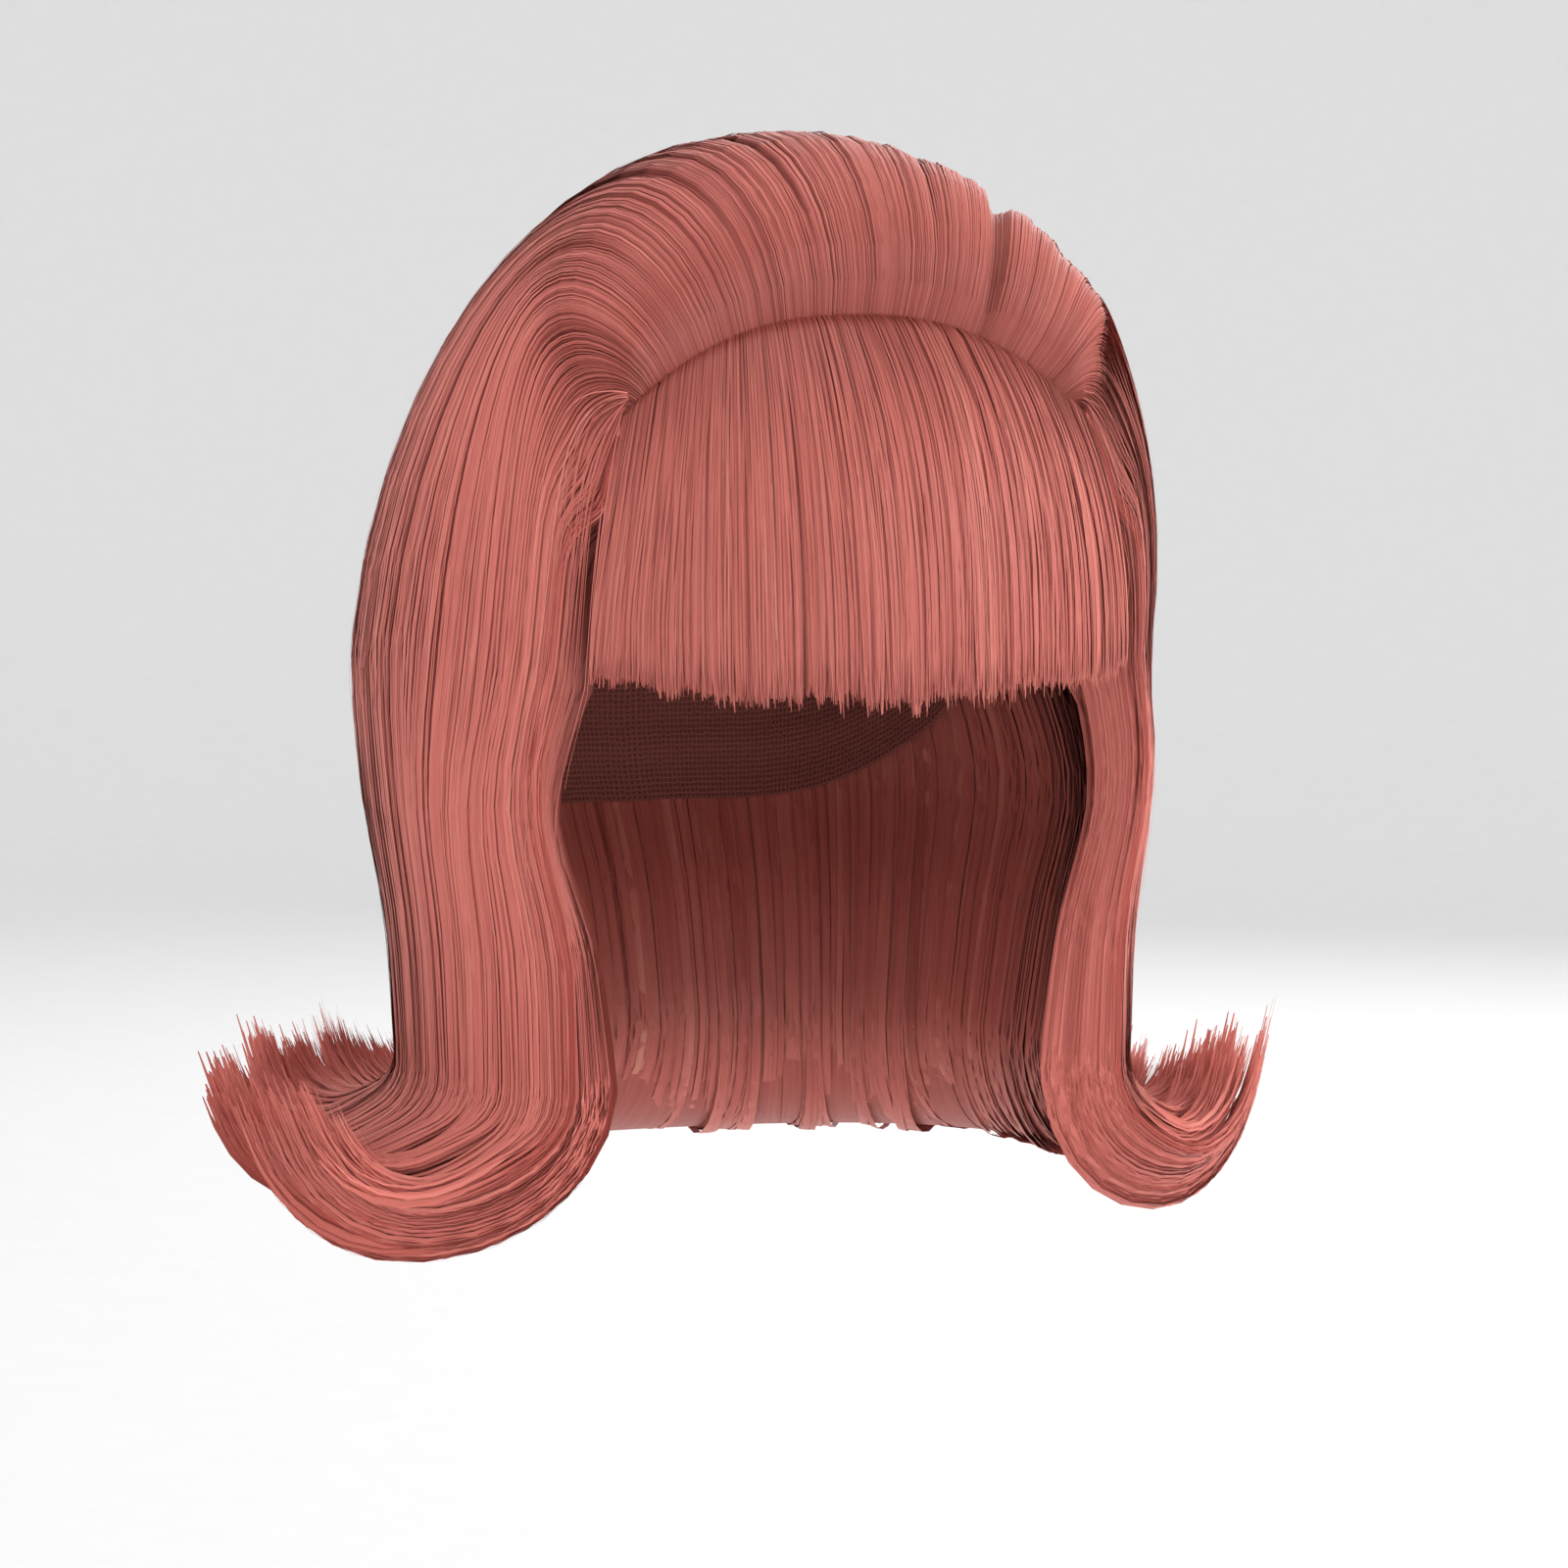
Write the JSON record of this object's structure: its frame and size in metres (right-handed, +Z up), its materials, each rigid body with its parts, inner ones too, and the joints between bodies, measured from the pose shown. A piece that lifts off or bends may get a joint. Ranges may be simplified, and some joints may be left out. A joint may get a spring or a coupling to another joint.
{
  "type": "bouffant flip wig",
  "caption": "Worn costume wig: raised bouffant crown swept back from an arched parting, full fringe, and long side falls whose ends flip out, on an open cap.",
  "frame": {"origin": "the inside of the cap's crown, where the wig sits on the top of the head", "axes": "+Z up, the wearer faces -Y, +X is the wearer's left"},
  "size_m": [0.3126, 0.2698, 0.2993],
  "materials": {
    "hair": "rose pink synthetic hair, soft lengthwise sheen",
    "cap": "matt wig cap with sewn rows"
  },
  "bodies": {
    "root": {"cap": "cap", "fringe": "hair", "crown_sweep": "hair", "rear_fall_left": "hair", "rear_fall_right": "hair", "side_fall_left": "hair", "side_fall_right": "hair", "front_lock_left": "hair", "front_lock_right": "hair"}
  },
  "joints": []
}
